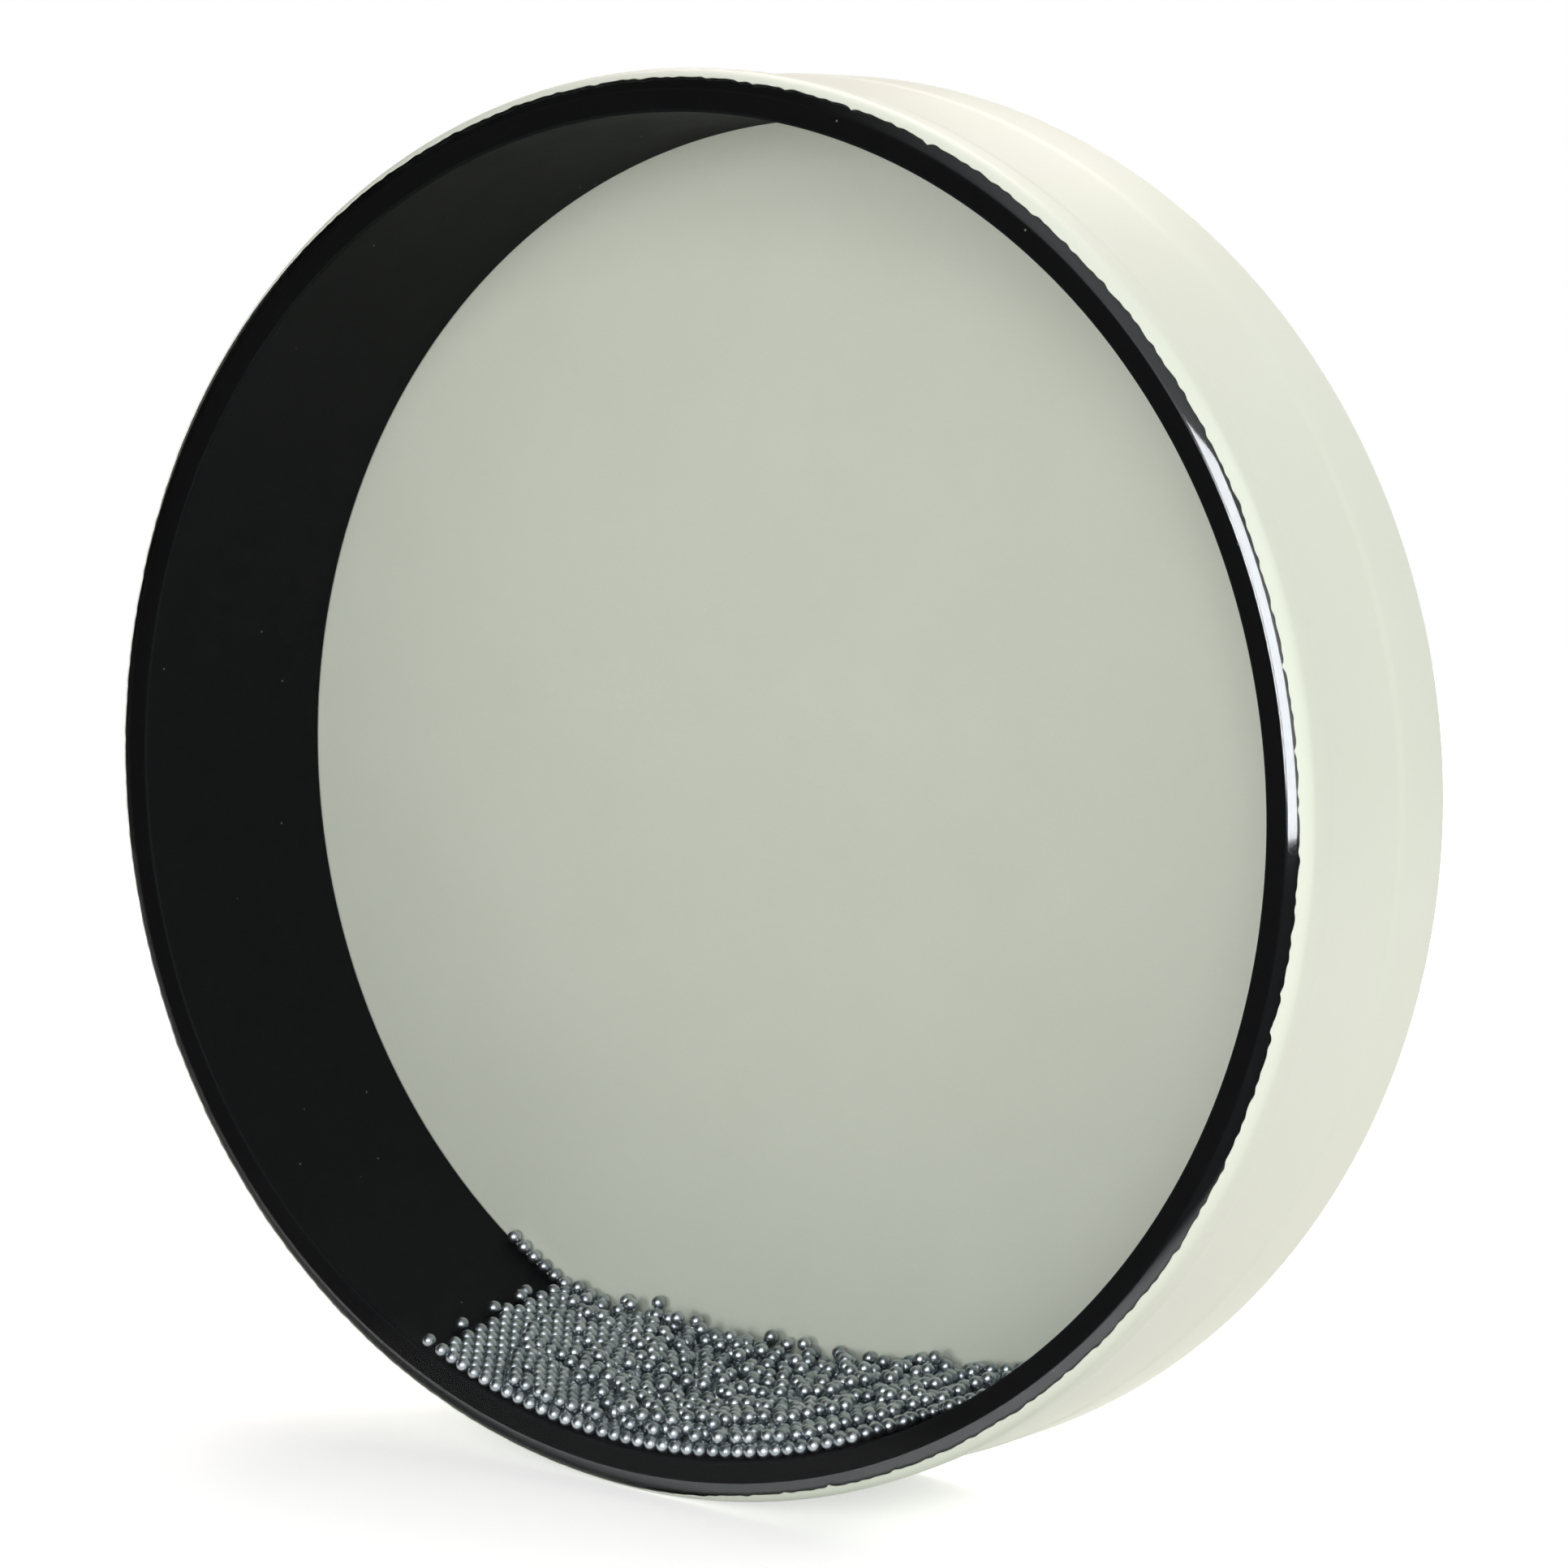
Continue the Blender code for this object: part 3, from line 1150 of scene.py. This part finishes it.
    def crown(self, across: np.ndarray, along: np.ndarray) -> np.ndarray:
        """Return how high the heap's top lies: dished between its edges and rising to the opaque head.

        Args:
            across: The places' X.
            along: Their Y.

        Returns:
            The Z of the top at each place.
        """
        share = (along + self.inside) / (2.0 * self.inside)
        ends = [
            (depth - self.run, -self.run * math.cos(shore), self.run * math.sin(shore))
            for depth, shore in (self.front_line, self.back_line)
        ]
        middle, edge, width = (front + (back - front) * share for front, back in zip(*ends))
        return middle + (edge - middle) * (across / width) ** 2

    def strew(
        self, heap: np.ndarray, chance: np.random.Generator, most: int, spare: float, behind: float
    ) -> np.ndarray:
        """Let loose balls fall on the heap where it lies below its line, and lie in the hollows they find.

        Args:
            heap: The middles of the balls that lie there, one a row.
            chance: The source of chance.
            most: The largest number of balls.
            spare: How far a new ball may stand above the line, in diameters.
            behind: The Y behind which the balls fall.

        Returns:
            The middles of all balls, one a row.
        """
        side = self.run * math.sin(self.back_line[1])
        fallen: list[np.ndarray] = []
        for _ in range(self.darts):
            spot = np.array([chance.uniform(-side, side), chance.uniform(behind, self.reach)])
            near = np.hypot(heap[:, 0] - spot[0], heap[:, 1] - spot[1]) < self.catch * self.diameter
            apart = min((math.dist(spot, other[:2]) for other in fallen), default=math.inf)
            crowded = apart < self.loose_pitch * self.diameter
            if len(fallen) == most or crowded or not near.any():
                continue
            top = heap[near, 2].max() + self.nest * self.diameter
            if top + self.radius < self.crown(spot[0], spot[1]) + spare * self.diameter:
                fallen.append(np.array([*spot, top + self.fall_from * self.diameter]))
        if not fallen:
            return heap
        points = np.vstack([heap, fallen])
        free = np.r_[np.zeros(len(heap)), np.ones(len(fallen))]
        return self.settle(points, free, self.nestling)

    def buried(self, points: np.ndarray) -> np.ndarray:
        """Tell which balls lie under others, where nobody sees them.

        Args:
            points: The middles, one a row.

        Returns:
            True for each buried ball.
        """
        first, second = close_pairs(points, self.cover_reach * self.diameter)
        over = np.zeros(len(points))
        for one, two in ((first, second), (second, first)):
            gap = points[two] - points[one]
            above = gap[:, 2] > self.cover_rise * self.diameter
            above &= np.hypot(gap[:, 0], gap[:, 1]) < self.cover_side * self.diameter
            over += np.bincount(one[above], minlength=len(points))
        return (over >= self.cover_count) & (points[:, 1] > -self.reach + self.front_rows * self.diameter)

    def ball_mesh(self, name: str, points: np.ndarray, cuts: int) -> bpy.types.Mesh:
        """Make balls in one mesh, with a tone for each.

        Args:
            name: The mesh's name.
            points: The balls' middles, one a row.
            cuts: How finely each ball is cut.

        Returns:
            The mesh.
        """
        bm = bmesh.new()
        bmesh.ops.create_icosphere(bm, subdivisions=cuts, radius=self.radius)
        corners = np.array([vert.co for vert in bm.verts])
        faces = np.array([[vert.index for vert in face.verts] for face in bm.faces])
        bm.free()
        spots = (points[:, None, :] + corners[None, :, :]).reshape(-1, 3)
        starts = np.arange(len(points)) * len(corners)
        cells = (faces[None, :, :] + starts[:, None, None]).reshape(-1, 3)
        mesh = bpy.data.meshes.new(name)
        mesh.from_pydata(spots.tolist(), [], cells.tolist())
        mesh.shade_smooth()
        tones = np.random.default_rng(self.seed + len(points)).random(len(points))
        tone = mesh.attributes.new(TONE, "FLOAT", "POINT")
        tone.data.foreach_set("value", np.repeat(tones, len(corners)).astype(np.float32))
        mesh.update()
        return mesh

    @staticmethod
    def stops(joints: list[dict], places: dict[str, np.ndarray]) -> np.ndarray:
        """Find where the rolling balls come to rest at the far ends of their ways round the wall.

        Args:
            joints: The part's joints.
            places: The middle of each rolling ball, by the body that carries it.

        Returns:
            The middles there, one a row.
        """
        found = []
        for joint in joints:
            if joint["child"] in places:
                turn = Quaternion(joint["axis"], math.radians(joint["range_deg"][1]))
                found.append(np.array(turn @ Vector(places[joint["child"]])))
        return np.array(found)

    def build(
        self, nodes: list[str], joints: list[dict], steel: bpy.types.Material
    ) -> list[bpy.types.Object]:
        """Make the heap and the single balls.

        Args:
            nodes: The names of the part's CAD nodes.
            joints: The part's joints.
            steel: The balls' material.

        Returns:
            The pieces.
        """
        rolling = sorted(name for name in nodes if name.startswith("rolling_ball"))
        corner = sorted(name for name in nodes if name.startswith("corner_ball"))
        stray = sorted(name for name in nodes if name.startswith("top_ball"))
        rollers = np.array([self.middle(name) for name in rolling])
        string = np.array([self.middle(name) for name in corner])
        heap = self.pour(np.vstack([rollers, string]))
        ends = self.stops(joints, dict(zip(rolling, rollers)))
        heap = heap[np.linalg.norm(heap[:, None] - ends[None], axis=2).min(axis=1) >= self.diameter]
        hidden = self.buried(heap)
        shown = np.vstack([heap[~hidden], string])
        strips = np.array_split(shown[np.argsort(shown[:, 0])], self.strips)
        marks = [-math.inf, *(strip[0, 0] for strip in strips[1:]), math.inf]
        pieces = []
        for index, points in enumerate(strips):
            name = f"ball_heap_{index + 1:02d}"
            piece = new_piece(name, self.ball_mesh(name, points, self.fine_cuts), [steel])
            low, high = marks[index], marks[index + 1]
            held = [node for node in corner + stray if low <= self.middle(node)[0] < high]
            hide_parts("ball_bed", *held)
            pieces.append(piece)
            LOG.info("%s: %d balls", name, len(points))
        core = self.ball_mesh("ball_heap_core", heap[hidden], self.coarse_cuts)
        pieces.append(new_piece("ball_heap_core", core, [steel]))
        LOG.info("ball_heap_core: %d balls", np.count_nonzero(hidden))
        for piece in pieces:
            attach(piece, "ball_charge")
        for name, point in zip(rolling, rollers):
            label = name.replace("rolling_ball", "loose_ball")
            piece = new_piece(label, self.ball_mesh(label, point[None, :], self.fine_cuts), [steel])
            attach(piece, name)
            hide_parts(name)
            pieces.append(piece)
        return pieces


@dataclass(frozen=True)
class SoftBox:
    """A rectangular soft light that faces the drum."""

    name: str
    place: tuple[float, float, float]
    size: tuple[float, float]
    watts: float
    tint: str
    tilt: float = 0.0

    def build(self) -> bpy.types.Object:
        """Hang the lamp.

        Returns:
            The lamp.
        """
        light = bpy.data.lights.new(self.name, "AREA")
        light.shape = "RECTANGLE"
        light.size, light.size_y = self.size
        light.energy = self.watts
        light.color = linear(self.tint)[:3]
        lamp = bpy.data.objects.new(self.name, light)
        bpy.context.scene.collection.objects.link(lamp)
        lamp.location = self.place
        facing = (-Vector(self.place)).to_track_quat("-Z", "Y")
        lamp.rotation_euler = (facing @ Quaternion((0.0, 0.0, 1.0), self.tilt)).to_euler()
        return lamp


@dataclass
class Studio:
    """White paper, soft light from beside the camera and above, and the photograph's camera."""

    floor_z: float = -152.4 * MM
    floor_x: tuple[float, float] = (-0.75, 2.4)
    floor_y: tuple[float, float] = (-1.6, 2.6)
    ambient: float = 0.13
    ambient_tint: str = "#ffffff"
    dim_side: tuple[float, float] = (-0.45, 0.05)
    dim_level: float = 0.03
    dim_above: tuple[float, float] = (0.26, 0.46)
    above_level: float = 0.50
    lamps: tuple[SoftBox, ...] = (
        SoftBox("window", (1.116, -2.190, 0.456), (0.72, 1.68), 31.0, "#fcfdff", math.radians(15.0)),
        SoftBox("front_panel", (0.08, -2.40, 0.20), (0.50, 0.70), 17.0, "#ffffff"),
        SoftBox("side_panel", (1.74, 0.47, 1.40), (1.20, 0.80), 20.5, "#ffffff"),
        SoftBox("ceiling_panel", (-0.50, 0.90, 1.50), (1.30, 1.30), 30.0, "#fff0f2"),
    )
    camera_place: tuple[float, float, float] = (0.6599, -1.0001, 0.1447)
    camera_aim: tuple[float, float, float] = (-0.54178, 0.83188, -0.12018)
    camera_roll: float = math.radians(2.52)
    lens_mm: float = 127.98
    sensor_mm: float = 36.0

    def build_floor(self) -> bpy.types.Object:
        """Lay the paper under the drum."""
        mesh = bpy.data.meshes.new("studio_floor")
        (left, right), (near, far) = self.floor_x, self.floor_y
        corners = [(x, y, self.floor_z) for x, y in ((left, near), (right, near), (right, far), (left, far))]
        mesh.from_pydata(corners, [], [(0, 1, 2, 3)])
        floor = new_piece("studio_floor", mesh, [StudioPaper().material()])
        return floor

    def build_world(self) -> bpy.types.World:
        """Surround the drum with soft light, and with white where the background is seen.

        In gloss, the white fades to the dim side of the room at -X and to its dim ceiling.
        """
        world = bpy.data.worlds.new("studio_white")
        world.use_nodes = True
        tree = world.node_tree
        tree.nodes.clear()
        soft = add_node(
            tree, "ShaderNodeBackground", {"Color": linear(self.ambient_tint), "Strength": self.ambient}
        )
        towards = add_node(tree, "ShaderNodeTexCoord")
        across = add_node(tree, "ShaderNodeSeparateXYZ", {0: towards.outputs["Generated"]})
        room = add_node(
            tree,
            "ShaderNodeMapRange",
            {
                "Value": across.outputs["X"],
                "From Min": self.dim_side[0],
                "From Max": self.dim_side[1],
                "To Min": self.dim_level,
                "To Max": 1.0,
            },
            interpolation_type="SMOOTHSTEP",
        )
        above = add_node(
            tree,
            "ShaderNodeMapRange",
            {
                "Value": across.outputs["Z"],
                "From Min": self.dim_above[0],
                "From Max": self.dim_above[1],
                "To Min": 1.0,
                "To Max": self.above_level,
            },
            interpolation_type="SMOOTHSTEP",
        )
        dimmed = add_node(
            tree,
            "ShaderNodeMath",
            {0: room.outputs["Result"], 1: above.outputs["Result"]},
            operation="MULTIPLY",
        )
        path = add_node(tree, "ShaderNodeLightPath")
        level = add_node(
            tree,
            "ShaderNodeMath",
            {0: dimmed.outputs[0], 1: path.outputs["Is Camera Ray"]},
            operation="MAXIMUM",
        )
        white = add_node(
            tree, "ShaderNodeBackground", {"Color": WHITE, "Strength": level.outputs[0]}
        )
        both = add_node(
            tree, "ShaderNodeMixShader", {0: seen_rays(tree), 1: soft.outputs[0], 2: white.outputs[0]}
        )
        add_node(tree, "ShaderNodeOutputWorld", {"Surface": both.outputs[0]})
        bpy.context.scene.world = world
        return world

    def build_lamps(self) -> list[bpy.types.Object]:
        """Hang the soft boxes."""
        return [box.build() for box in self.lamps]

    def build_camera(self) -> bpy.types.Object:
        """Set the camera at the photograph's viewing angle."""
        optics = bpy.data.cameras.new("photo_camera")
        optics.lens = self.lens_mm
        optics.sensor_width = self.sensor_mm
        camera = bpy.data.objects.new("photo_camera", optics)
        bpy.context.scene.collection.objects.link(camera)
        level = Vector(self.camera_aim).to_track_quat("-Z", "Y")
        camera.location = self.camera_place
        camera.rotation_euler = (level @ Quaternion((0.0, 0.0, 1.0), self.camera_roll)).to_euler()
        bpy.context.scene.camera = camera
        return camera


def main() -> None:
    """Build the drum on its CAD frame, dress it and light it."""
    logging.basicConfig(level=logging.INFO, format="%(name)s: %(message)s")
    for item in list(bpy.data.objects):
        bpy.data.objects.remove(item, do_unlink=True)
    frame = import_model()
    bpy.context.scene.view_settings.view_transform = "Standard"

    studio = Studio()
    studio.build_camera()
    studio.build_floor()
    studio.build_world()
    studio.build_lamps()

    drum = DrumBody()
    pieces = [
        drum.build_hoop(
            BlackBoard("dyed_fibre_board", "#0c0e0f", "#131516").material(),
            BlackBoard("sealed_fibre_edge", "#040405", "#09090a").material(),
        ),
        drum.build_clear_head(
            ClearFilm("clear_polyester_film", 0.004).material(),
            ClearFilm("clear_polyester_collar", 0.060).material(),
        ),
        # The head's cream is set darker than the wrap's: painted shade for the inside of the drum, on top of
        # the shade the render gives
        drum.build_back_head(CreamFilm("cream_polyester_head_painted_shade", "#c9cec1", "#c3c8ba", 0.15).material()),
        drum.build_wrap(CreamFilm("cream_polyester_wrap", "#dde3d5", "#d9dfcf", 0.18).material()),
    ]
    pieces += BallCharge().build(list(frame["nodes"]), frame["joints"], BallSteel().material())
    for piece in pieces:
        LOG.info("%s: %d faces", piece.name, len(piece.data.polygons))


if __name__ == "__main__":
    main()
